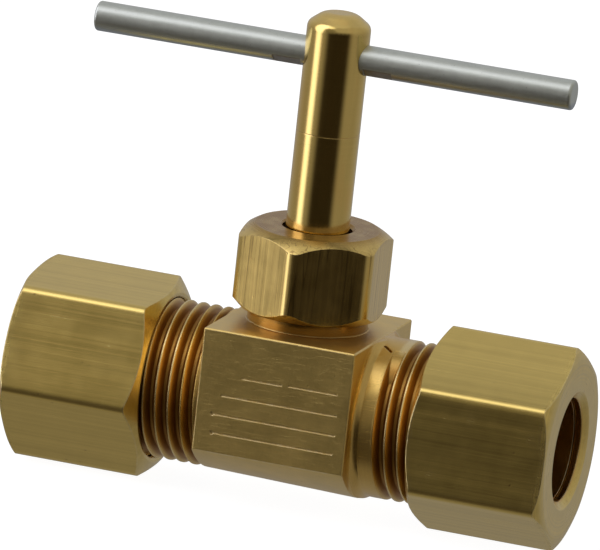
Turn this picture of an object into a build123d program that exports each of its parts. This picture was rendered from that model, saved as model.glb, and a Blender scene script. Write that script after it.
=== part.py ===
from build123d import *
import math
import os

os.makedirs("parts", exist_ok=True)

# Needle valve with compression tube ends, in millimetres, +Z up.
# Origin: where the tube axis (X) and the stem axis (Z) cross. -Y is the front.
# The valve is shut and its nuts are tight at rest.

# ---- driving dimensions ---------------------------------------------------
TAN30 = math.tan(math.radians(30))

# centre block of the body
BLOCK_LEFT = -6.08
BLOCK_RIGHT = 6.36
BLOCK_HALF_Y = 7.29
BLOCK_TOP = 6.34
BLOCK_FLAT_Z = -3.39          # where the flat sides meet the round belly
BELLY_LEFT = -6.20            # lowest line of the belly, it drops a little to the right
BELLY_RIGHT = -6.51
BLOCK_EDGE = 0.10
BLEND = 0.85                  # radius between the block's right end and its land

# tube ends: 1/2-24 thread for a 5/16 in compression nut
P = 25.4 / 24
THREAD_R = 6.35
THREAD_ROOT = 5.66
CREST = 0.10
END_X = 17.5
LAND_LEFT = -6.20
LAND_RIGHT = 7.945
TUBE_R = 4.03                 # socket for a 7.94 mm tube
SOCKET_IN = 11.0
SOCKET_OUT = 14.5
CONE_R = 4.834                # mouth of the ferrule cone

# stem neck: 3/8-24 thread for the packing nut
NECK_R = 4.7625
NECK_ROOT = 4.15
NECK_LAND = 7.50
NECK_TOP = 11.40
NECK_FILLET = 0.10
PACK_R = 3.45
PACK_FLOOR = 8.10

# stem screw: 1/4-28
SP = 25.4 / 28
SCREW_R = 3.12
SCREW_ROOT = 2.58
SCREW_BORE = 3.19
SCREW_CREST = 0.12

# flow passages
SEAT_Z = 0.20
ORIFICE_R = 1.20
LOW_Z = -2.60
HIGH_Z = 1.90
PASSAGE_R = 1.30

# compression nut, 9/16 in across flats
NUT_IN = {"left": 10.96, "right": 11.2}
NUT_FACE_R = {"left": 6.78, "right": 7.15}
NUT_OUT = 22.4
NUT_HEX_R = 8.248
NUT_CORNER = 0.80
NUT_BORE = 4.10
CSK_R = 4.70
CSK_X = 21.97
NUT_MAJOR = 6.42
NUT_MINOR = 5.80
LEFT_TURN = 38.7              # hex corner, degrees from +Z towards the front
RIGHT_TURN = -2.3

# packing nut, 7/16 in across flats
PN_BOTTOM = 7.40
PN_TOP = 14.17
PN_LEAN = 1.8                 # the crown is faced a little out of square
PN_HEX_R = 6.39
PN_CORNER = 1.15
PN_EFF = 6.21
PN_TURN = 31.8
PN_HOLE = 2.77
PN_MAJOR = 4.83
PN_MINOR = 4.20
PN_CEILING = 12.20

# stem and tee bar
STEM_R = 2.51
STEM_TOP = 31.27
BAR_Z = 27.85
BAR_R = 1.19
BAR_LEFT = -19.65
BAR_RIGHT = 19.40
STAKE_TURN = 38.0
STAKE_DEPTH = 0.10
BAR_YAW = 0.69


def ridge(r_root, r_crest, crest, pitch, turns, sink=0.06):
    """Helical V ridge about +Z, starting at azimuth +X with its crest at z = 0."""
    out = 1 if r_crest > r_root else -1
    h = abs(r_crest - r_root)
    w = crest / 2
    wr = w + h * TAN30
    with BuildPart() as made:
        with BuildLine() as path:
            Helix(pitch=pitch, height=pitch * turns, radius=r_root)
        with BuildSketch(Plane(origin=path.line @ 0, x_dir=(1, 0, 0), z_dir=path.line % 0)):
            with BuildLine():
                Polyline((-out * sink, wr), (out * h, w), (out * h, -w), (-out * sink, -wr), close=True)
            make_face()
        sweep(path=path.line, is_frenet=True)
    return made.part


def run_out(r_root, r_crest, width, pitch, sink=0.06):
    """One turn of full-height land behind the crest, where the thread dies away."""
    h = r_crest - r_root
    with BuildPart() as made:
        with BuildLine() as path:
            Helix(pitch=pitch, height=pitch, radius=r_root)
        with BuildSketch(Plane(origin=path.line @ 0, x_dir=(1, 0, 0), z_dir=path.line % 0)):
            with BuildLine():
                Polyline((-sink, width), (h, width), (h, 0.0), (-sink, 0.0), close=True)
            make_face()
        sweep(path=path.line, is_frenet=True)
    return made.part


def along_x(side, x, turn):
    """Place +Z geometry on the tube axis, pointing out of one end of the valve."""
    a = math.radians(turn)
    return Plane(origin=(side * x, 0, 0), x_dir=(0, -math.sin(a), side * math.cos(a)), z_dir=(side, 0, 0)).location


def along_z(z, turn):
    a = math.radians(turn)
    return Plane(origin=(0, 0, z), x_dir=(math.cos(a), math.sin(a), 0), z_dir=(0, 0, 1)).location


# start of each tube thread: (side, start angle, crest distance from the stem axis at the start)
ENDS = {"right": (1, 20.0, 7.912, 8.25), "left": (-1, 135.0, 5.66, 10.5)}

# ---- valve body -----------------------------------------------------------
thread_right = ridge(THREAD_ROOT, THREAD_R, CREST, P, ENDS["right"][3]).moved(along_x(1, ENDS["right"][2], ENDS["right"][1]))
thread_left = ridge(THREAD_ROOT, THREAD_R, CREST, P, ENDS["left"][3]).moved(along_x(-1, ENDS["left"][2], ENDS["left"][1]))
fade_right = run_out(THREAD_ROOT, THREAD_R - 0.006, 1.035, P).moved(along_x(1, ENDS["right"][2], ENDS["right"][1]))
fade_left = run_out(THREAD_ROOT, THREAD_R - 0.006, 1.035, P).moved(along_x(-1, ENDS["left"][2], ENDS["left"][1]))
thread_neck = ridge(NECK_ROOT, NECK_R, CREST, P, 3.5).moved(along_z(7.20, 0))
screw_in_body = ridge(SCREW_BORE, 2.65, 0.134, SP, 4).moved(along_z(3.09 + SP, 180))

# four thin marking lines on the front face: (x0, x1, z), the top one in two pieces
MARKS = [(-2.56, 0.71, 2.84), (1.25, 5.27, 2.90), (-4.10, 5.39, 1.22), (-4.69, 5.45, -0.35), (-4.59, 5.39, -1.85)]
MARK_W = 0.13
MARK_D = 0.07

with BuildPart() as valve_body:
    # block with flat sides and a round belly, drawn from the side at both ends
    for x, low in ((BLOCK_LEFT, BELLY_LEFT), (BLOCK_RIGHT, BELLY_RIGHT)):
        with BuildSketch(Plane.YZ.offset(x)):
            with BuildLine():
                Line((-BLOCK_HALF_Y, BLOCK_FLAT_Z), (-BLOCK_HALF_Y, BLOCK_TOP))
                Line((-BLOCK_HALF_Y, BLOCK_TOP), (BLOCK_HALF_Y, BLOCK_TOP))
                Line((BLOCK_HALF_Y, BLOCK_TOP), (BLOCK_HALF_Y, BLOCK_FLAT_Z))
                ThreePointArc((BLOCK_HALF_Y, BLOCK_FLAT_Z), (0, low), (-BLOCK_HALF_Y, BLOCK_FLAT_Z))
            make_face()
    loft(ruled=True)
    # broken edges round the top and down the corners
    corners = valve_body.edges().filter_by(Axis.Z) + valve_body.edges().filter_by(lambda e: abs(e.center().Z - BLOCK_TOP) < 0.01)
    chamfer(corners, length=BLOCK_EDGE)
    # thread cores and the plain lands beside the block
    with BuildSketch(Plane.XZ):
        with BuildLine():
            Polyline(
                (-END_X, 0), (-END_X, THREAD_ROOT - 0.35), (-END_X + 0.35, THREAD_ROOT), (END_X - 0.35, THREAD_ROOT),
                (END_X, THREAD_ROOT - 0.35), (END_X, 0), close=True)
        make_face()
    revolve(axis=Axis.X)
    with BuildSketch(Plane.YZ.offset(BLOCK_RIGHT - 0.5)):
        Circle(THREAD_R - 0.012)
    extrude(amount=LAND_RIGHT - BLOCK_RIGHT + 0.5)
    with BuildSketch(Plane.YZ.offset(BLOCK_LEFT + 0.5)):
        Circle(THREAD_R - 0.012)
    extrude(amount=LAND_LEFT - BLOCK_LEFT - 0.5)
    # hollow blend from the right end of the block down to its land, inside the block's outline
    with BuildPart() as blend:
        with BuildSketch(Plane.XZ):
            with BuildLine():
                Polyline((BLOCK_RIGHT - 0.3, 0), (BLOCK_RIGHT - 0.3, THREAD_R + BLEND - 0.04), (BLOCK_RIGHT, THREAD_R + BLEND - 0.04))
                ThreePointArc((BLOCK_RIGHT, THREAD_R + BLEND - 0.04), (BLOCK_RIGHT + 0.293 * BLEND, THREAD_R + 0.293 * BLEND - 0.04),
                              (BLOCK_RIGHT + BLEND, THREAD_R - 0.04))
                Polyline((BLOCK_RIGHT + BLEND, THREAD_R - 0.04), (BLOCK_RIGHT + BLEND, 0), (BLOCK_RIGHT - 0.3, 0))
            make_face()
        revolve(axis=Axis.X)
        with BuildSketch(Plane.YZ.offset(BLOCK_RIGHT - 0.35)):
            with BuildLine():
                Polyline((BLOCK_HALF_Y - 0.03, BLOCK_FLAT_Z), (BLOCK_HALF_Y - 0.03, BLOCK_TOP - 0.03), (-BLOCK_HALF_Y + 0.03, BLOCK_TOP - 0.03),
                         (-BLOCK_HALF_Y + 0.03, BLOCK_FLAT_Z))
                ThreePointArc((-BLOCK_HALF_Y + 0.03, BLOCK_FLAT_Z), (0, BELLY_RIGHT + 0.03), (BLOCK_HALF_Y - 0.03, BLOCK_FLAT_Z))
            make_face()
        extrude(amount=BLEND + 0.7, mode=Mode.INTERSECT)
    # neck for the packing nut
    with BuildSketch(Plane.XZ):
        with BuildLine():
            Polyline(
                (0, 0), (0, NECK_TOP), (NECK_ROOT - 0.3, NECK_TOP), (NECK_ROOT, NECK_TOP - 0.3),
                (NECK_ROOT, NECK_LAND + (NECK_R - NECK_ROOT) * TAN30), (NECK_R, NECK_LAND), (NECK_R, BLOCK_TOP + NECK_FILLET))
            ThreePointArc((NECK_R, BLOCK_TOP + NECK_FILLET), (NECK_R + 0.293 * NECK_FILLET, BLOCK_TOP + 0.293 * NECK_FILLET), (NECK_R + NECK_FILLET, BLOCK_TOP))
            Polyline((NECK_R + NECK_FILLET, BLOCK_TOP), (NECK_R + NECK_FILLET, 0), (0, 0))
        make_face()
    revolve(axis=Axis.Z)
    add(thread_neck)
    add(thread_right)
    add(thread_left)
    add(fade_right)
    add(fade_left)
    # the right groove runs in gradually from the top
    a = math.radians(15)
    with BuildSketch(Plane.YZ.offset(7.80)):
        with Locations((-2.5 * math.sin(a), 2.5 * math.cos(a))):
            Circle(THREAD_R - 2.5 - 0.008)
    extrude(amount=1.145)
    # tube sockets with a cone for the ferrule
    with BuildSketch(Plane.XZ):
        with BuildLine():
            Polyline((SOCKET_IN, 0), (SOCKET_IN, TUBE_R), (SOCKET_OUT, TUBE_R), (END_X + 0.5, CONE_R + 0.5 * math.tan(math.radians(15))), (END_X + 0.5, 0), close=True)
        make_face()
        with BuildLine():
            Polyline((-SOCKET_IN, 0), (-SOCKET_IN, TUBE_R), (-SOCKET_OUT, TUBE_R), (-END_X - 0.5, CONE_R + 0.5 * math.tan(math.radians(15))), (-END_X - 0.5, 0), close=True)
        make_face()
    revolve(axis=Axis.X, mode=Mode.SUBTRACT)
    # inlet passes under the seat, outlet leaves above it
    with BuildSketch(Plane.YZ.offset(-SOCKET_IN - 0.2)):
        with Locations((0, LOW_Z)):
            Circle(PASSAGE_R)
    extrude(amount=SOCKET_IN + 0.2 + 1.0, mode=Mode.SUBTRACT)
    with BuildSketch(Plane.YZ.offset(SOCKET_IN + 0.2)):
        with Locations((0, HIGH_Z)):
            Circle(PASSAGE_R)
    extrude(amount=-(SOCKET_IN + 0.2), mode=Mode.SUBTRACT)
    with BuildSketch(Plane.XY.offset(LOW_Z)):
        Circle(ORIFICE_R)
    extrude(amount=SEAT_Z - LOW_Z + 0.2, mode=Mode.SUBTRACT)
    # stem chamber, screw bore and packing bore
    with BuildSketch(Plane.XY.offset(SEAT_Z)):
        Circle(SCREW_BORE)
    extrude(amount=PACK_FLOOR - SEAT_Z + 0.1, mode=Mode.SUBTRACT)
    with BuildSketch(Plane.XY.offset(PACK_FLOOR)):
        Circle(PACK_R)
    extrude(amount=NECK_TOP - PACK_FLOOR + 0.5, mode=Mode.SUBTRACT)
    add(screw_in_body)
    # marking lines and the two drill points that start them
    for x0, x1, z in MARKS:
        with BuildSketch(Plane.XZ.offset(BLOCK_HALF_Y - MARK_D)):
            with Locations(((x0 + x1) / 2, z)):
                Rectangle(x1 - x0, MARK_W)
        extrude(amount=MARK_D + 0.5, mode=Mode.SUBTRACT)
    with BuildSketch(Plane.XZ.offset(BLOCK_HALF_Y - 0.12)):
        with Locations((-4.69, -0.35), (-4.59, -1.85)):
            Circle(0.15)
    extrude(amount=0.5, mode=Mode.SUBTRACT)
    # small nick in the land where the right thread starts
    a = math.radians(19.7)
    nick = Plane(origin=(7.43, -THREAD_R * math.sin(a), THREAD_R * math.cos(a)), x_dir=(0.85, -0.766 * math.cos(a), -0.766 * math.sin(a)),
                 z_dir=(0, -math.sin(a), math.cos(a)))
    with BuildSketch(nick.offset(-0.22)):
        SlotOverall(1.15, 0.22)
    extrude(amount=0.6, mode=Mode.SUBTRACT)

# ---- compression nuts and ferrules ----------------------------------------


def hex_bar(x0, x1, r, corner):
    with BuildPart() as bar:
        with BuildSketch(Plane.XY.offset(x0)):
            RegularPolygon(radius=r, side_count=6)
        extrude(amount=x1 - x0)
        fillet(bar.edges().filter_by(Axis.Z), radius=corner)
    return bar.part


def compression_nut(z_in, face_r):
    """Nut about +Z, its thread end at z_in."""
    with BuildPart() as nut:
        add(hex_bar(z_in, NUT_OUT, NUT_HEX_R, NUT_CORNER))
        # turned envelope: 30 degree chamfer inside, rounded crown outside
        with BuildSketch(Plane.XZ):
            with BuildLine():
                Polyline((0, z_in), (face_r, z_in), (8.6, z_in + (8.6 - face_r) * TAN30), (8.6, NUT_OUT - 1.05))
                ThreePointArc((8.6, NUT_OUT - 1.05), (7.80, NUT_OUT - 0.29), (6.85, NUT_OUT))
                Polyline((6.85, NUT_OUT), (0, NUT_OUT), (0, z_in))
            make_face()
        revolve(axis=Axis.Z, mode=Mode.INTERSECT)
        # thread bore, ferrule pocket, 45 degree shoulder, tube bore, countersink
        with BuildSketch(Plane.XZ):
            with BuildLine():
                Polyline((0, z_in - 0.2), (NUT_MAJOR + 0.32, z_in - 0.2), (NUT_MAJOR, z_in + 0.12), (NUT_MAJOR, 17.95),
                         (4.85, 18.35), (4.85, 20.75), (NUT_BORE, 21.50), (NUT_BORE, CSK_X), (CSK_R + 0.28, NUT_OUT + 0.2), (0, NUT_OUT + 0.2), close=True)
            make_face()
        revolve(axis=Axis.Z, mode=Mode.SUBTRACT)
    return nut.part


def ferrule():
    """Brass compression sleeve about +Z: long 15 degree nose, short 45 degree tail."""
    with BuildPart() as sleeve:
        with BuildSketch(Plane.XZ):
            with BuildLine():
                Polyline((4.05, 15.0), (4.13, 15.0), (4.75, 17.31), (4.75, 20.80), (4.17, 21.38), (4.05, 21.38), close=True)
            make_face()
        revolve(axis=Axis.Z)
    return sleeve.part


def nut_thread(side, start_turn, start_x, z_in):
    """Internal ridge in mesh with the body's thread: half a pitch behind its crest."""
    x = start_x + P
    while x - 0.46 < z_in + 0.25:
        x += P
    return ridge(NUT_MAJOR, NUT_MINOR, 0.178, P, math.floor((17.45 - x) / P)).moved(along_x(side, x, start_turn + 180))


for label, hexturn in (("left", LEFT_TURN), ("right", RIGHT_TURN)):
    side, start_turn, start_x, _ = ENDS[label]
    # along_x measures from +Z on the right and from -Z on the left
    turn = hexturn if side > 0 else 180 - hexturn
    with BuildPart() as nut:
        add(compression_nut(NUT_IN[label], NUT_FACE_R[label]).moved(along_x(side, 0, turn)))
        add(nut_thread(side, start_turn, start_x, NUT_IN[label]))
    nut.part.label = "compression_nut_" + label
    export_step(nut.part, "parts/compression_nut_%s.step" % label)

    with BuildPart() as sleeve:
        add(ferrule().moved(along_x(side, 0, 0)))
    sleeve.part.label = "ferrule_" + label
    export_step(sleeve.part, "parts/ferrule_%s.step" % label)

# ---- packing nut ----------------------------------------------------------
with BuildPart() as packing_nut:
    with BuildSketch(Plane.XY.offset(PN_BOTTOM)):
        RegularPolygon(radius=PN_HEX_R, side_count=6, rotation=PN_TURN)
    extrude(amount=PN_TOP + 0.5 - PN_BOTTOM)
    fillet(packing_nut.edges().filter_by(Axis.Z), radius=PN_CORNER)
    with BuildSketch(Plane.XZ):
        with BuildLine():
            Polyline((0, PN_BOTTOM), (PN_EFF - 0.76, PN_BOTTOM), (PN_EFF + 0.40, PN_BOTTOM + 1.16), (PN_EFF + 0.40, PN_TOP + 0.5), (0, PN_TOP + 0.5), close=True)
        make_face()
    revolve(axis=Axis.Z, mode=Mode.INTERSECT)
    with BuildPart(mode=Mode.PRIVATE) as crown:
        with BuildSketch(Plane.XZ):
            with BuildLine():
                Polyline((0, PN_BOTTOM - 1), (8, PN_BOTTOM - 1), (8, PN_TOP - 2.38), (PN_EFF + 0.40, PN_TOP - 1.34))
                ThreePointArc((PN_EFF + 0.40, PN_TOP - 1.34), (5.70, PN_TOP - 0.50), (4.90, PN_TOP))
                Polyline((4.90, PN_TOP), (0, PN_TOP), (0, PN_BOTTOM - 1))
            make_face()
        revolve(axis=Axis.Z)
    add(crown.part.rotate(Axis((0, 0, 13.9), (0.95, -0.31, 0)), PN_LEAN), mode=Mode.INTERSECT)
    with BuildSketch(Plane.XZ):
        with BuildLine():
            Polyline((0, PN_BOTTOM - 0.2), (PN_MAJOR + 0.40, PN_BOTTOM - 0.2), (PN_MAJOR, PN_BOTTOM + 0.20), (PN_MAJOR, PN_CEILING - 0.25),
                     (PN_MAJOR - 0.25, PN_CEILING), (PN_HOLE, PN_CEILING), (PN_HOLE, PN_TOP - 0.16), (PN_HOLE + 0.56, PN_TOP + 0.40), (0, PN_TOP + 0.40), close=True)
        make_face()
    revolve(axis=Axis.Z, mode=Mode.SUBTRACT)
    add(ridge(PN_MAJOR, PN_MINOR, 0.169, P, 3).moved(along_z(7.20 + P, 180)))
packing_nut.part.label = "packing_nut"
export_step(packing_nut.part, "parts/packing_nut.step")

valve_body.part.label = "valve_body"
export_step(valve_body.part, "parts/valve_body.step")

# ---- stem, non-turning tip and tee bar ------------------------------------
with BuildPart() as needle_stem:
    with BuildSketch(Plane.XZ):
        with BuildLine():
            Polyline((0, 1.60), (1.95, 1.60), (2.10, 1.75), (2.10, 2.55), (SCREW_ROOT, 2.85), (SCREW_ROOT, 5.22), (STEM_R, 5.32),
                     (STEM_R, 21.73), (STEM_R - 0.01, 21.76), (STEM_R - 0.01, 21.79), (STEM_R, 21.82), (STEM_R, 29.96))
            Bezier((STEM_R, 29.96), (STEM_R, 30.36), (STEM_R - 0.28, 30.58))
            Line((STEM_R - 0.28, 30.58), (1.62, 31.04))
            Bezier((1.62, 31.04), (1.27, STEM_TOP), (0.86, STEM_TOP))
            Polyline((0.86, STEM_TOP), (0, STEM_TOP), (0, 1.60))
        make_face()
    revolve(axis=Axis.Z)
    add(ridge(SCREW_ROOT, SCREW_R, SCREW_CREST, SP, 2).moved(along_z(3.09, 0)))
    # swivel pocket for the tip
    with BuildSketch(Plane.XZ):
        with BuildLine():
            Polyline((0, 1.40), (0.91, 1.40), (0.91, 1.90), (1.31, 1.90), (1.31, 2.50), (0, 2.72), close=True)
        make_face()
    revolve(axis=Axis.Z, mode=Mode.SUBTRACT)
    # cross hole for the tee bar
    with BuildSketch(Plane.YZ.rotated((0, 0, BAR_YAW))):
        with Locations((0, BAR_Z)):
            Circle(BAR_R + 0.01)
    extrude(amount=6, both=True, mode=Mode.SUBTRACT)
needle_stem.part.label = "needle_stem"
export_step(needle_stem.part, "parts/needle_stem.step")

with BuildPart() as needle_tip:
    with BuildSketch(Plane.XZ):
        with BuildLine():
            Polyline((0, -1.089), (0.45, -1.089), (1.90, 1.4225), (1.90, 1.46), (1.81, 1.55), (0.85, 1.55), (0.85, 1.95), (1.25, 1.95), (1.25, 2.35), (1.15, 2.45), (0, 2.45), close=True)
        make_face()
    revolve(axis=Axis.Z)
needle_tip.part.label = "needle_tip"
export_step(needle_tip.part, "parts/needle_tip.step")

with BuildPart() as tee_handle_bar:
    with BuildSketch(Plane.XZ):
        with BuildLine():
            Line((BAR_LEFT, 0), (BAR_LEFT, BAR_R - 0.22))
            RadiusArc((BAR_LEFT, BAR_R - 0.22), (BAR_LEFT + 0.22, BAR_R), 0.22)
            Line((BAR_LEFT + 0.22, BAR_R), (BAR_RIGHT - 0.22, BAR_R))
            RadiusArc((BAR_RIGHT - 0.22, BAR_R), (BAR_RIGHT, BAR_R - 0.22), 0.22)
            Polyline((BAR_RIGHT, BAR_R - 0.22), (BAR_RIGHT, 0), (BAR_LEFT, 0))
        make_face()
    revolve(axis=Axis.X)
    # two staked flats low on the front of the bar, one each side of the stem
    t = math.radians(STAKE_TURN)
    with BuildSketch(Plane(origin=(0, -(BAR_R - STAKE_DEPTH) * math.sin(t), -(BAR_R - STAKE_DEPTH) * math.cos(t)), x_dir=(1, 0, 0), z_dir=(0, -math.sin(t), -math.cos(t)))):
        with Locations((-3.72, 0), (3.72, 0)):
            Rectangle(2.30, 4.0)
    extrude(amount=0.6, mode=Mode.SUBTRACT)
tee_handle_bar.part = tee_handle_bar.part.moved(Location((0, 0, BAR_Z), (0, 0, BAR_YAW)))
tee_handle_bar.part.label = "tee_handle_bar"
export_step(tee_handle_bar.part, "parts/tee_handle_bar.step")

# ---- packing set ----------------------------------------------------------
with BuildPart() as gland_follower:
    with BuildSketch(Plane.XZ):
        with BuildLine():
            Polyline((2.58, 10.62), (3.38, 10.62), (3.38, 11.45), (4.02, 11.45), (4.02, 12.00), (3.87, 12.15), (2.58, 12.15), close=True)
        make_face()
    revolve(axis=Axis.Z)
gland_follower.part.label = "gland_follower"
export_step(gland_follower.part, "parts/gland_follower.step")


def ring(name, z0, z1, r_in, r_out, edge):
    with BuildPart() as made:
        with BuildSketch(Plane.XZ):
            with BuildLine():
                Polyline((r_in, z0), (r_out - edge, z0), (r_out, z0 + edge), (r_out, z1 - edge), (r_out - edge, z1), (r_in, z1), close=True)
            make_face()
        revolve(axis=Axis.Z)
    made.part.label = name
    export_step(made.part, "parts/%s.step" % name)


ring("packing_ring_upper", 9.57, 10.60, 2.54, 3.43, 0.08)
ring("packing_ring_lower", 8.52, 9.55, 2.54, 3.43, 0.08)
ring("packing_washer", 8.12, 8.50, 2.58, 3.42, 0.05)
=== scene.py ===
import math

import bpy
from mathutils import Matrix, Vector


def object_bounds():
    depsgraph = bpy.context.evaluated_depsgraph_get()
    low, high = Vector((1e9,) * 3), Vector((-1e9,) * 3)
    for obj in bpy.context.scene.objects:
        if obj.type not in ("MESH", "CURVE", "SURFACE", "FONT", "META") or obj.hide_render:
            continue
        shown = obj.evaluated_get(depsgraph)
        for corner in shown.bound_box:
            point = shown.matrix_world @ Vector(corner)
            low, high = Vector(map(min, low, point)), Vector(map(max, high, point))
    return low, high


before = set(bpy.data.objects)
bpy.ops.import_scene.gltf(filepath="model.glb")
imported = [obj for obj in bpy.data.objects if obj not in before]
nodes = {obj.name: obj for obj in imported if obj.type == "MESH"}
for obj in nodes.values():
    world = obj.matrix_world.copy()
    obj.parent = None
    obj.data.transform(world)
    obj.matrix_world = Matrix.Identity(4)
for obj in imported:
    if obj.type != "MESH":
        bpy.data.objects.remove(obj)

cad_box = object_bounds()
scene = bpy.context.scene

# ------------------------------------------------------------------ camera
AZIMUTH, ELEVATION, ROLL = (math.radians(a) for a in (17.03, 13.02, 6.17))
DISTANCE = 0.745
across = Vector((math.cos(AZIMUTH), math.sin(AZIMUTH), 0))
back = Vector((math.sin(AZIMUTH) * math.cos(ELEVATION), -math.cos(AZIMUTH) * math.cos(ELEVATION), math.sin(ELEVATION)))
upward = back.cross(across)
aim = (-0.96 * across + 9.853 * upward) / 1000
right = math.cos(ROLL) * across + math.sin(ROLL) * upward
up = -math.sin(ROLL) * across + math.cos(ROLL) * upward
lens = bpy.data.cameras.new("camera")
lens.sensor_width = 36
lens.lens = 9501 * 36 / 600
lens.clip_start, lens.clip_end = 0.01, 20
camera = bpy.data.objects.new("camera", lens)
scene.collection.objects.link(camera)
turn = Matrix((right, up, back)).transposed().to_4x4()
turn.translation = aim + DISTANCE * back
camera.matrix_world = turn
scene.camera = camera
scene.view_settings.view_transform = "Standard"
scene.view_settings.look = "None"


# ------------------------------------------------------------------ node helpers
class Tree:
    """Small helper for writing node trees as expressions."""

    def __init__(self, tree):
        self.tree = tree
        self.tree.nodes.clear()

    def node(self, kind, **settings):
        n = self.tree.nodes.new(kind)
        for k, v in settings.items():
            setattr(n, k, v)
        return n

    def put(self, socket, value):
        if value is None:
            return
        if isinstance(value, bpy.types.NodeSocket):
            self.tree.links.new(value, socket)
        elif isinstance(value, (tuple, list)) and len(value) == 3 and socket.type == "RGBA":
            socket.default_value = (*value, 1)
        else:
            socket.default_value = value

    def math(self, op, a, b=None, c=None, clamp=False):
        n = self.node("ShaderNodeMath", operation=op, use_clamp=clamp)
        for s, v in zip(n.inputs, (a, b, c)):
            self.put(s, v)
        return n.outputs[0]

    def add(self, a, b):
        return self.math("ADD", a, b)

    def sub(self, a, b):
        return self.math("SUBTRACT", a, b)

    def mul(self, a, b, clamp=False):
        return self.math("MULTIPLY", a, b, clamp=clamp)

    def vec(self, op, a, b=None, out=0):
        n = self.node("ShaderNodeVectorMath", operation=op)
        self.put(n.inputs[0], a)
        if b is not None:
            self.put(n.inputs["Scale"] if op == "SCALE" else n.inputs[1], b)
        return n.outputs[out]

    def dot(self, a, b):
        return self.vec("DOT_PRODUCT", a, b, out="Value")

    def step(self, x, lo, hi, a=0.0, b=1.0, kind="SMOOTHSTEP"):
        """a below lo, b above hi, smooth between."""
        n = self.node("ShaderNodeMapRange", interpolation_type=kind, clamp=True)
        for i, v in enumerate((x, lo, hi, a, b)):
            self.put(n.inputs[i], v)
        return n.outputs[0]

    def band(self, x, lo, hi, soft):
        return self.mul(self.step(x, lo - soft, lo + soft), self.step(x, hi - soft, hi + soft, 1.0, 0.0))

    def mix(self, factor, a, b, kind="MIX"):
        n = self.node("ShaderNodeMix", data_type="RGBA", blend_type=kind, clamp_factor=True)
        self.put(n.inputs["Factor"], factor)
        self.put(n.inputs[6], a)
        self.put(n.inputs[7], b)
        return n.outputs[2]

    def lerp(self, factor, a, b):
        n = self.node("ShaderNodeMix", data_type="FLOAT", clamp_factor=True)
        self.put(n.inputs["Factor"], factor)
        self.put(n.inputs[2], a)
        self.put(n.inputs[3], b)
        return n.outputs[0]

    def xyz(self, v):
        n = self.node("ShaderNodeSeparateXYZ")
        self.put(n.inputs[0], v)
        return n.outputs[0], n.outputs[1], n.outputs[2]

    def combine(self, x, y, z):
        n = self.node("ShaderNodeCombineXYZ")
        for s, v in zip(n.inputs, (x, y, z)):
            self.put(s, v)
        return n.outputs[0]

    def noise(self, at, scale=1.0, detail=2.0, rough=0.5, distortion=0.0, colour=False, seed=None):
        n = self.node("ShaderNodeTexNoise", noise_dimensions="4D" if seed is not None else "3D")
        self.put(n.inputs["Vector"], at)
        self.put(n.inputs["Scale"], scale)
        self.put(n.inputs["Detail"], detail)
        self.put(n.inputs["Roughness"], rough)
        self.put(n.inputs["Distortion"], distortion)
        if seed is not None:
            self.put(n.inputs["W"], seed)
        return n.outputs["Color" if colour else 0]

    def cells(self, at, scale=1.0, feature="F1", randomness=1.0):
        n = self.node("ShaderNodeTexVoronoi", feature=feature)
        self.put(n.inputs["Vector"], at)
        self.put(n.inputs["Scale"], scale)
        self.put(n.inputs["Randomness"], randomness)
        return n.outputs

    def rounded(self, radius, samples=4):
        """Normal with the sharp edges softened."""
        n = self.node("ShaderNodeBevel", samples=samples)
        n.inputs["Radius"].default_value = radius / 1000
        return n.outputs[0]

    def hollow(self, reach, samples=4):
        """0 in the open, 1 deep in this piece's own recesses."""
        n = self.node("ShaderNodeAmbientOcclusion", samples=samples, only_local=True)
        n.inputs["Distance"].default_value = reach / 1000
        return self.sub(1.0, n.outputs["AO"])

    def bump(self, height, distance, strength=1.0, normal=None):
        n = self.node("ShaderNodeBump")
        self.put(n.inputs["Height"], height)
        self.put(n.inputs["Distance"], distance)
        self.put(n.inputs["Strength"], strength)
        if normal is not None:
            self.put(n.inputs["Normal"], normal)
        return n.outputs[0]


# ------------------------------------------------------------------ studio light
world = bpy.data.worlds.new("studio")
scene.world = world
world.use_nodes = True
w = Tree(world.node_tree)
direction = w.vec("NORMALIZE", w.node("ShaderNodeTexCoord").outputs["Generated"])
ahead = (math.sin(AZIMUTH), -math.cos(AZIMUTH), 0.0)
aside = (math.cos(AZIMUTH), math.sin(AZIMUTH), 0.0)
azimuth = w.mul(w.math("ARCTAN2", w.dot(direction, aside), w.dot(direction, ahead)), 180 / math.pi)
height = w.mul(w.math("ARCSINE", w.dot(direction, (0.0, 0.0, 1.0))), 180 / math.pi)


def blob(az, el, half_az, half_el, soft):
    """1 inside an ellipse round that direction, 0 outside it."""
    dx = w.math("DIVIDE", w.sub(azimuth, az), half_az)
    dy = w.math("DIVIDE", w.sub(height, el), half_el)
    d = w.math("SQRT", w.add(w.mul(dx, dx), w.mul(dy, dy)))
    return w.step(d, 1 - soft, 1 + soft, 1.0, 0.0)


# pale room: dimmer below, brighter and a little cooler above and behind
light = w.mix(w.step(height, -35, 30), (0.29, 0.29, 0.31), (0.475, 0.48, 0.515))
light = w.mix(w.step(w.math("ABSOLUTE", azimuth), 95, 150), w.mix(1.0, light, (0.82, 0.78, 0.68), kind="MULTIPLY"), light)
# dark room in front, low, fading upwards
front = w.mul(w.step(w.math("ABSOLUTE", w.sub(azimuth, 3)), 31, 56, 1.0, 0.0), w.step(height, -10, 26, 1.0, 0.0))
light = w.mix(front, light, (0.022, 0.017, 0.011))
low_front = w.mul(w.step(w.math("ABSOLUTE", w.add(azimuth, 40)), 40, 75, 1.0, 0.0), w.mul(w.step(height, -30, -18, 1.0, 0.0), w.step(height, -64, -48)))
light = w.mix(w.mul(low_front, 0.75), light, (0.06, 0.05, 0.035))
# dark flag beside the soft box
light = w.mix(w.mul(blob(-30, 18, 21, 22, 0.35), 0.75), light, (0.15, 0.14, 0.115))
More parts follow.
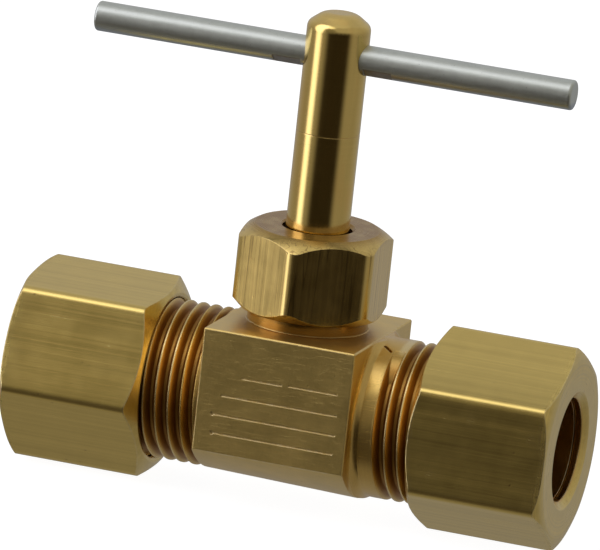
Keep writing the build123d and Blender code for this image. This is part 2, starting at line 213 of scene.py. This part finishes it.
# overhead box
light = w.mix(w.step(height, 62, 80), light, (0.55, 0.545, 0.54))
# large soft box to the left, widening upwards
half = w.add(w.add(18.8, w.mul(w.math("MAXIMUM", w.add(height, 13), 0.0), 0.08)), w.mul(w.math("MAXIMUM", w.sub(height, 30), 0.0), 0.65))
dx = w.math("DIVIDE", w.add(azimuth, w.add(73.8, w.mul(w.add(height, 13), 0.05))), half)
dy = w.math("DIVIDE", w.sub(height, 24), 46.0)
box = w.step(w.math("SQRT", w.add(w.mul(dx, dx), w.mul(dy, dy))), 0.72, 1.20, 1.0, 0.0)
# small box high in front, it lights the nuts' upper corners
light = w.mix(w.mul(blob(-42, 58, 18, 13, 0.40), 0.8), light, (1.5, 1.5, 1.5))
light = w.mix(box, light, (2.0, 2.0, 2.35))
lamp = w.node("ShaderNodeBackground")
w.put(lamp.inputs["Color"], light)
plain = w.node("ShaderNodeBackground")
plain.inputs["Color"].default_value = (1, 1, 1, 1)
choose = w.node("ShaderNodeMixShader")
w.put(choose.inputs[0], w.node("ShaderNodeLightPath").outputs["Is Camera Ray"])
w.put(choose.inputs[1], lamp.outputs[0])
w.put(choose.inputs[2], plain.outputs[0])
w.put(w.node("ShaderNodeOutputWorld").inputs[0], choose.outputs[0])

# ------------------------------------------------------------------ floor
low = cad_box[0].z
mesh = bpy.data.meshes.new("floor")
size, step_z = 6.0, low
mesh.from_pydata([(-size, -size, step_z), (size, -size, step_z), (size, size, step_z), (-size, size, step_z)], [], [(0, 1, 2, 3)])
floor = bpy.data.objects.new("floor", mesh)
scene.collection.objects.link(floor)
floor.visible_glossy = False
floor.visible_diffuse = False
paper = bpy.data.materials.new("pale_floor")
paper.use_nodes = True
t = Tree(paper.node_tree)
p = t.node("ShaderNodeBsdfPrincipled")
p.inputs["Base Color"].default_value = (0.25, 0.25, 0.25, 1)
p.inputs["Roughness"].default_value = 0.9
p.inputs["Specular IOR Level"].default_value = 0.0
p.inputs["Emission Color"].default_value = (1, 1, 1, 1)
p.inputs["Emission Strength"].default_value = 0.95
t.put(t.node("ShaderNodeOutputMaterial").inputs[0], p.outputs[0])
mesh.materials.append(paper)


# ------------------------------------------------------------------ materials
BRASS = (0.80, 0.570, 0.168)
PALE = (0.88, 0.70, 0.34)
WORN = (0.95, 0.80, 0.46)
DEEP = (0.36, 0.17, 0.03)


def material(name, build, metallic=1.0):
    m = bpy.data.materials.new(name)
    m.use_nodes = True
    t = Tree(m.node_tree)
    p = t.node("ShaderNodeBsdfPrincipled")
    p.inputs["Metallic"].default_value = metallic
    t.put(t.node("ShaderNodeOutputMaterial").inputs[0], p.outputs[0])
    t.at = t.vec("SCALE", t.node("ShaderNodeTexCoord").outputs["Object"], 1000.0)
    t.x, t.y, t.z = t.xyz(t.at)
    build(t, p)
    return m


def give(node, m):
    data = nodes[node].data
    data.materials.clear()
    data.materials.append(m)


def radius(t, a, b):
    return t.math("SQRT", t.add(t.mul(a, a), t.mul(b, b)))


def scaled(t, sx, sy, sz):
    return t.vec("MULTIPLY", t.at, (sx, sy, sz))


def centred(t, n, spread):
    """Noise around 0.5 turned into a factor around 1."""
    return t.add(1.0, t.mul(t.sub(n, 0.5), spread))


def tint(t, colour, factor):
    return t.vec("SCALE", colour, factor)


def as_colour(t, c):
    return t.combine(*c)


def nicks(t, scale, threshold, stretch=(1, 1, 1)):
    """Small sparse dents."""
    d = t.cells(scaled(t, *stretch), scale=scale)[0]
    pick = t.noise(t.at, scale=scale * 0.43, detail=0.0)
    return t.mul(t.step(d, 0.0, 0.16, 1.0, 0.0), t.step(pick, threshold, threshold + 0.05))


def scratches(t, scale, stretch, low, high):
    """Thin broken lines along the stretched direction."""
    n = t.noise(scaled(t, *stretch), scale=scale, detail=1.0, rough=0.4)
    return t.step(t.math("ABSOLUTE", t.sub(n, 0.5)), low, high, 1.0, 0.0)


def finish(t, p, colour, rough, high, distance, edge=0.09):
    t.put(p.inputs["Base Color"], colour)
    t.put(p.inputs["Roughness"], t.math("MINIMUM", t.math("MAXIMUM", rough, 0.05), 1.0))
    t.put(p.inputs["Normal"], t.bump(high, distance / 1000, normal=t.rounded(edge)))


def worn_edge(t, reach):
    """1 along sharp edges, 0 on the faces between them."""
    true = t.node("ShaderNodeNewGeometry").outputs["Normal"]
    d = t.dot(t.rounded(reach), true)
    return t.step(d, 0.995, 0.90, 0.0, 1.0)


def compression(side):
    def build(t, p):
        r = radius(t, t.y, t.z)
        out = t.mul(t.x, float(side))
        # long drawing lines on the flats
        fine = t.noise(scaled(t, 0.02, 4.6, 4.6), detail=3.0, rough=0.62, seed=2.0 + side)
        broad = t.noise(scaled(t, 0.012, 1.3, 1.3), detail=2.0, rough=0.5, seed=5.0 + side)
        cloud = t.noise(t.at, scale=0.55, detail=3.0, rough=0.6, seed=9.0 + side)
        # turned rings on the faces, the crown and in the mouth
        rings = t.noise(t.combine(t.mul(r, 5.5), t.mul(out, 5.5), 0.0), detail=2.0, rough=0.6)
        face = t.step(out, 22.18, 22.32)
        crown = t.mul(t.step(r, 6.9, 7.6, 0.0, 1.0), t.step(out, 21.75, 22.05))
        turned = t.math("MAXIMUM", face, crown)
        hair = t.noise(scaled(t, 0.035, 13.0, 13.0), detail=2.0, rough=0.6, seed=14.0 + side)
        line = t.lerp(turned, t.add(t.mul(fine, 0.55), t.mul(hair, 0.45)), rings)
        colour = tint(t, as_colour(t, (0.775, 0.575, 0.178)), t.mul(centred(t, line, 0.62), t.mul(centred(t, broad, 0.30), centred(t, cloud, 0.16))))
        colour = t.mix(t.mul(face, 0.35), colour, (0.80, 0.63, 0.26))
        # painted shade: darker brown down in the bore, on the thread and in the mouth of the thread end
        recess_painted_shade = t.mul(t.step(r, 4.35, 6.9, 1.0, 0.0), t.step(out, 21.95, 22.1, 1.0, 0.0))
        recess_painted_shade = t.math("MAXIMUM", t.mul(t.step(r, 4.12, 4.3, 1.0, 0.0), t.step(out, 21.9, 22.0, 1.0, 0.0)), recess_painted_shade)
        colour = t.mix(t.mul(recess_painted_shade, 0.75), colour, (0.66, 0.36, 0.09))
        # grime and painted shade: patchy darkening in this piece's own recesses
        grime_and_painted_shade = t.mul(t.hollow(0.9), t.mul(t.step(cloud, 0.35, 0.65), t.sub(1.0, t.mul(recess_painted_shade, 0.6))))
        colour = t.mix(t.mul(grime_and_painted_shade, 0.50), colour, (0.30, 0.17, 0.05))
        edge = worn_edge(t, 0.17)
        colour = t.mix(t.mul(edge, t.step(t.noise(t.at, scale=1.7, detail=3.0), 0.35, 0.65, 0.35, 0.80)), colour, WORN)
        dents = nicks(t, 1.1, 0.68)
        scr = scratches(t, 1.0, (0.10, 3.4, 3.4), 0.004, 0.012)
        colour = t.mix(t.mul(dents, 0.6), colour, (0.28, 0.17, 0.06))
        rough = t.add(0.235, t.add(t.mul(t.sub(line, 0.5), 0.16), t.mul(t.sub(cloud, 0.5), 0.12)))
        rough = t.add(rough, t.add(t.mul(grime_and_painted_shade, 0.2), t.mul(turned, 0.07)))
        high = t.sub(t.add(t.mul(line, 0.75), t.mul(broad, 0.55)), t.add(t.mul(dents, 2.5), t.mul(scr, 0.20)))
        finish(t, p, colour, rough, high, 0.0032, edge=0.14)
    return build


def packing_nut(t, p):
    r = radius(t, t.x, t.y)
    fine = t.noise(scaled(t, 4.4, 4.4, 0.10), detail=3.0, rough=0.62, seed=4.0)
    broad = t.noise(scaled(t, 1.5, 1.5, 0.05), detail=2.0, seed=7.0)
    cloud = t.noise(t.at, scale=0.7, detail=3.0, rough=0.6, seed=3.0)
    rings = t.noise(t.combine(t.mul(r, 6.5), t.mul(t.z, 6.5), 0.0), detail=2.0, rough=0.6)
    turned = t.math("MAXIMUM", t.step(t.z, 13.7, 13.95), t.step(r, 4.9, 5.2, 1.0, 0.0))
    line = t.lerp(turned, fine, rings)
    colour = tint(t, as_colour(t, (0.80, 0.58, 0.19)), t.mul(centred(t, line, 0.30), t.mul(centred(t, broad, 0.30), centred(t, cloud, 0.16))))
    # painted shade: darker brown down in the bore and on the underside round the neck
    recess_painted_shade = t.mul(t.step(r, 2.86, 4.7, 1.0, 0.0), t.step(t.z, 13.8, 13.95, 1.0, 0.0))
    # painted shade: a patchy darker ring on the top face round the hole
    hole_ring_painted_shade = t.mul(t.step(r, 4.6, 5.9, 1.0, 0.0), t.step(t.z, 13.45, 13.7))
    recess_painted_shade = t.math("MAXIMUM", recess_painted_shade, t.mul(t.step(r, 5.2, 5.6, 1.0, 0.0), t.step(t.z, 7.6, 8.3, 1.0, 0.0)))
    colour = t.mix(t.mul(recess_painted_shade, 0.75), colour, (0.44, 0.23, 0.06))
    colour = t.mix(t.mul(hole_ring_painted_shade, t.step(cloud, 0.3, 0.6, 0.60, 0.88)), colour, (0.34, 0.18, 0.040))
    # grime and painted shade: patchy darkening in this piece's own recesses
    grime_and_painted_shade = t.mul(t.hollow(0.8), t.step(cloud, 0.35, 0.65))
    colour = t.mix(t.mul(grime_and_painted_shade, 0.5), colour, (0.30, 0.17, 0.05))
    edge = worn_edge(t, 0.12)
    colour = t.mix(t.mul(edge, t.step(t.noise(t.at, scale=1.9, detail=3.0), 0.35, 0.65, 0.08, 0.40)), colour, PALE)
    seams = t.mul(scratches(t, 1.0, (1.5, 1.5, 0.04), 0.006, 0.022), t.sub(1.0, turned))
    colour = t.mix(t.mul(seams, 0.55), colour, (0.26, 0.16, 0.05))
    dents = nicks(t, 1.5, 0.62)
    colour = t.mix(t.mul(dents, 0.6), colour, (0.28, 0.17, 0.06))
    rough = t.add(0.22, t.add(t.mul(t.sub(line, 0.5), 0.16), t.mul(t.sub(cloud, 0.5), 0.12)))
    rough = t.add(rough, t.mul(turned, 0.06))
    high = t.sub(t.add(t.mul(line, 0.75), t.mul(broad, 0.5)), t.mul(dents, 2.5))
    finish(t, p, colour, rough, high, 0.0042, edge=0.04)


def valve_body(t, p):
    rx = radius(t, t.y, t.z)
    rz = radius(t, t.x, t.y)
    far = t.math("ABSOLUTE", t.x)
    cloud = t.noise(t.at, scale=0.45, detail=4.0, rough=0.6, seed=1.0)
    grain = t.noise(t.at, scale=5.0, detail=3.0, rough=0.65, seed=2.0)
    lines = t.noise(scaled(t, 0.22, 4.2, 4.2), detail=3.0, rough=0.6, seed=3.0)
    rings_x = t.noise(t.combine(t.mul(t.x, 5.0), t.mul(rx, 5.0), 0.0), detail=2.0, rough=0.6)
    rings_z = t.noise(t.combine(t.mul(t.z, 5.0), t.mul(rz, 5.0), 4.0), detail=2.0, rough=0.6)
    ends = t.math("MAXIMUM", t.step(t.x, 6.38, 6.44), t.step(t.x, -6.12, -6.10, 1.0, 0.0))
    neck = t.mul(t.step(t.z, 6.36, 6.42), t.step(rz, 5.2, 5.3, 1.0, 0.0))
    line = t.lerp(neck, t.lerp(ends, lines, rings_x), rings_z)
    colour = tint(t, as_colour(t, (0.80, 0.575, 0.185)), t.mul(centred(t, line, 0.22), t.mul(centred(t, cloud, 0.34), centred(t, grain, 0.20))))
    # the round belly is paler, as it left the mould
    belly = t.step(t.z, -3.9, -3.3, 1.0, 0.0)
    colour = t.mix(t.mul(belly, t.mul(t.sub(1.0, ends), 0.5)), colour, tint(t, as_colour(t, (0.82, 0.62, 0.28)), centred(t, cloud, 0.5)))
    # threads: grime and painted bounce light make the threaded ends browner; painted shade in the grooves and a
    # painted highlight along the crests
    groove_painted_shade = t.mul(ends, t.step(rx, 5.95, 6.30, 1.0, 0.0))
    crest_painted_highlight = t.mul(ends, t.step(rx, 6.27, 6.335))
    colour = t.mix(t.mul(ends, 0.50), colour, tint(t, as_colour(t, (0.66, 0.40, 0.10)), centred(t, cloud, 0.4)))
    colour = t.mix(t.mul(groove_painted_shade, t.step(cloud, 0.30, 0.60, 0.78, 0.95)), colour, tint(t, as_colour(t, DEEP), centred(t, rings_x, 0.8)))
    colour = t.mix(t.mul(crest_painted_highlight, t.step(far, 8.2, 8.6, 0.0, 0.75)), colour, PALE)
    # painted shade: darker in the passages, down the neck under the packing nut (darkest on the side away from the
    # soft box), and brown where the neck meets the block
    passage_painted_shade = t.math("MAXIMUM", t.mul(t.step(rx, 4.9, 5.3, 1.0, 0.0), t.step(far, 10.5, 10.9)), t.mul(t.step(rz, 3.5, 3.7, 1.0, 0.0), t.step(t.z, 11.3, 11.5, 1.0, 0.0)))
    colour = t.mix(t.mul(passage_painted_shade, 0.7), colour, (0.45, 0.24, 0.06))
    neck_painted_shade = t.mul(neck, t.step(t.z, 7.35, 7.6, 1.0, 0.0))
    colour = t.mix(t.mul(neck_painted_shade, t.step(cloud, 0.3, 0.65, 0.40, 0.62)), colour, (0.44, 0.24, 0.075))
    colour = t.mix(t.mul(neck_painted_shade, t.step(t.x, -3.4, -1.6, 0.0, 0.80)), colour, (0.16, 0.075, 0.012))
    neck_base_painted_shade = t.mul(t.mul(t.step(t.z, 6.2, 6.3), t.step(rz, 4.9, 6.9, 1.0, 0.0)), t.step(t.z, 6.9, 7.2, 1.0, 0.0))
    colour = t.mix(t.mul(neck_base_painted_shade, 0.28), colour, (0.50, 0.29, 0.09))
    # grime and painted shade: patchy darkening in this piece's own recesses
    grime_and_painted_shade = t.mul(t.hollow(0.8), t.step(cloud, 0.3, 0.6, 0.45, 1.0))
    colour = t.mix(t.mul(grime_and_painted_shade, 0.50), colour, (0.24, 0.13, 0.035))
    # cut lines on the front are bare metal
    cut = t.mul(t.step(t.y, -7.285, -7.27), t.mul(t.step(t.y, -7.14, -7.12, 1.0, 0.0), t.mul(t.step(far, 5.6, 5.7, 1.0, 0.0), t.step(t.z, 3.1, 3.2, 1.0, 0.0))))
    colour = t.mix(t.mul(cut, t.step(t.noise(t.at, scale=2.2, detail=2.0), 0.4, 0.6, 0.2, 0.7)), colour, PALE)
    edge = t.mul(worn_edge(t, 0.11), t.sub(1.0, ends))
    colour = t.mix(t.mul(edge, t.step(t.noise(t.at, scale=1.6, detail=4.0, rough=0.7), 0.35, 0.62, 0.12, 0.6)), colour, WORN)
    dents = nicks(t, 1.3, 0.58)
    specks = nicks(t, 3.1, 0.60)
    scr = scratches(t, 0.8, (0.7, 1.0, 3.6), 0.003, 0.010)
    colour = t.mix(t.mul(specks, 0.55), colour, (0.30, 0.18, 0.06))
    colour = t.mix(t.mul(dents, 0.45), colour, (0.30, 0.18, 0.06))
    rough = t.add(0.36, t.add(t.mul(t.sub(grain, 0.5), 0.12), t.mul(t.sub(cloud, 0.5), 0.14)))
    rough = t.lerp(ends, rough, t.add(0.27, t.mul(groove_painted_shade, 0.12)))
    rough = t.lerp(neck, rough, t.add(0.17, t.mul(rings_z, 0.08)))
    high = t.add(t.mul(line, 0.6), t.add(t.mul(grain, 0.35), t.mul(cloud, 0.6)))
    high = t.sub(high, t.add(t.mul(dents, 2.2), t.add(t.mul(specks, 1.2), t.mul(scr, 0.5))))
    finish(t, p, colour, rough, high, 0.0045, edge=0.10)


def stem(t, p):
    r = radius(t, t.x, t.y)
    rings = t.noise(t.combine(t.mul(t.z, 4.0), t.mul(r, 4.0), 0.0), detail=3.0, rough=0.6)
    fine = t.noise(scaled(t, 3.2, 3.2, 0.09), detail=2.0, seed=2.0)
    cloud = t.noise(scaled(t, 1.0, 1.0, 0.35), scale=0.7, detail=3.0, seed=5.0)
    colour = tint(t, as_colour(t, (0.83, 0.61, 0.20)), t.mul(centred(t, rings, 0.14), t.mul(centred(t, cloud, 0.34), centred(t, fine, 0.14))))
    colour = t.mix(t.step(cloud, 0.48, 0.68, 0.0, 0.40), colour, (0.80, 0.50, 0.15))
    scribe = t.band(t.z, 21.745, 21.805, 0.02)
    second = t.mul(t.band(t.sub(t.z, t.mul(t.x, 0.28)), 21.19, 21.25, 0.02), t.step(t.noise(t.at, scale=0.9), 0.45, 0.55))
    colour = t.mix(t.mul(scribe, 0.55), colour, (0.62, 0.36, 0.12))
    colour = t.mix(t.mul(second, 0.25), colour, (0.62, 0.36, 0.12))
    low_part = t.step(t.z, 5.0, 5.6, 1.0, 0.0)
    colour = t.mix(t.mul(low_part, 0.6), colour, (0.55, 0.33, 0.09))
    # grime and painted shade: darkening in this piece's own recesses
    grime_and_painted_shade = t.hollow(0.5)
    colour = t.mix(t.mul(grime_and_painted_shade, 0.5), colour, (0.25, 0.14, 0.04))
    edge = worn_edge(t, 0.08)
    colour = t.mix(t.mul(edge, 0.6), colour, WORN)
    rough = t.add(0.155, t.add(t.mul(t.sub(rings, 0.5), 0.06), t.mul(t.sub(cloud, 0.5), 0.09)))
    rough = t.add(rough, t.add(t.mul(low_part, 0.12), t.mul(t.step(t.z, 30.5, 31.0), 0.10)))
    high = t.sub(t.add(t.mul(rings, 0.5), t.mul(fine, 0.3)), t.mul(scribe, 0.8))
    finish(t, p, colour, rough, high, 0.0009, edge=0.06)


def bar(t, p):
    grain = t.noise(scaled(t, 0.35, 5.0, 5.0), detail=3.0, rough=0.65, seed=1.0)
    mottle = t.noise(t.at, scale=2.6, detail=4.0, rough=0.65, seed=2.0)
    cloud = t.noise(t.at, scale=0.35, detail=3.0, seed=3.0)
    colour = tint(t, as_colour(t, (0.625, 0.650, 0.575)), t.mul(centred(t, grain, 0.22), t.mul(centred(t, mottle, 0.26), centred(t, cloud, 0.16))))
    colour = t.mix(t.step(mottle, 0.60, 0.72, 0.0, 0.35), colour, (0.40, 0.38, 0.33))
    edge = worn_edge(t, 0.08)
    colour = t.mix(t.mul(edge, 0.55), colour, (0.80, 0.80, 0.78))
    # painted shade: the lower part of the bar darker and cooler
    underside_painted_shade = t.step(t.z, 27.0, 27.45, 1.0, 0.0)
    colour = t.mix(t.mul(underside_painted_shade, 0.75), colour, (0.37, 0.425, 0.47))
    # painted shade: the two staked flats are darkened
    across = t.sub(t.y, t.mul(t.x, 0.01204))
    depth = t.add(t.mul(across, -0.61566), t.mul(t.sub(t.z, 27.85), -0.78801))
    staked_flat_painted_shade = t.mul(t.band(t.math("ABSOLUTE", t.x), 2.57, 4.87, 0.04), t.step(depth, 1.045, 1.08))
    colour = t.mix(t.mul(staked_flat_painted_shade, t.step(mottle, 0.35, 0.65, 0.72, 0.90)), colour, (0.24, 0.225, 0.20))
    specks = nicks(t, 2.4, 0.60)
    colour = t.mix(t.mul(specks, 0.6), colour, (0.22, 0.21, 0.19))
    rough = t.add(0.37, t.add(t.mul(t.sub(grain, 0.5), 0.12), t.mul(t.sub(mottle, 0.5), 0.16)))
    high = t.sub(t.add(t.mul(grain, 0.6), t.mul(mottle, 0.7)), t.mul(specks, 1.6))
    finish(t, p, colour, rough, high, 0.0045, edge=0.07)


def turned_part(axis, colour_a, rough_a):
    def build(t, p):
        r = radius(t, t.y, t.z) if axis == "x" else radius(t, t.x, t.y)
        along = t.x if axis == "x" else t.z
        rings = t.noise(t.combine(t.mul(r, 6.0), t.mul(along, 6.0), 0.0), detail=3.0, rough=0.6)
        cloud = t.noise(t.at, scale=0.8, detail=3.0, seed=6.0)
        colour = tint(t, as_colour(t, colour_a), t.mul(centred(t, rings, 0.28), centred(t, cloud, 0.22)))
        edge = worn_edge(t, 0.07)
        colour = t.mix(t.mul(edge, 0.75), colour, (0.95, 0.84, 0.58) if colour_a[2] < 0.4 else (0.85, 0.85, 0.85))
        # grime and painted shade: darkening in this piece's own recesses
        grime_and_painted_shade = t.hollow(0.5)
        colour = t.mix(t.mul(grime_and_painted_shade, 0.4), colour, tuple(0.3 * c for c in colour_a))
        rough = t.add(rough_a, t.add(t.mul(t.sub(rings, 0.5), 0.14), t.mul(t.sub(cloud, 0.5), 0.10)))
        finish(t, p, colour, rough, t.add(rings, t.mul(cloud, 0.4)), 0.003, edge=0.05)
    return build


def ptfe(t, p):
    cloud = t.noise(t.at, scale=1.2, detail=4.0, rough=0.6, seed=2.0)
    fine = t.noise(t.at, scale=9.0, detail=2.0, seed=4.0)
    colour = tint(t, as_colour(t, (0.86, 0.85, 0.81)), t.mul(centred(t, cloud, 0.14), centred(t, fine, 0.06)))
    # painted shade: darker in this piece's own recesses
    colour = t.mix(t.mul(t.hollow(0.4), 0.3), colour, (0.62, 0.58, 0.50))
    rough = t.add(0.46, t.mul(t.sub(cloud, 0.5), 0.16))
    finish(t, p, colour, rough, t.add(cloud, t.mul(fine, 0.4)), 0.006, edge=0.05)


give("compression_nut_left", material("nut_brass_left", compression(-1)))
give("compression_nut_right", material("nut_brass_right", compression(1)))
give("packing_nut", material("packing_nut_brass", packing_nut))
give("valve_body", material("body_brass", valve_body))
give("needle_stem", material("stem_brass", stem))
give("tee_handle_bar", material("bar_steel", bar, metallic=0.88))
sleeve = material("ferrule_brass", turned_part("x", (0.78, 0.53, 0.16), 0.24))
give("ferrule_left", sleeve)
give("ferrule_right", sleeve)
gland = material("gland_brass", turned_part("z", (0.78, 0.55, 0.18), 0.28))
give("gland_follower", gland)
give("packing_washer", gland)
give("needle_tip", material("tip_steel", turned_part("z", (0.60, 0.60, 0.59), 0.22)))
ring = material("packing_ptfe", ptfe, metallic=0.0)
give("packing_ring_upper", ring)
give("packing_ring_lower", ring)
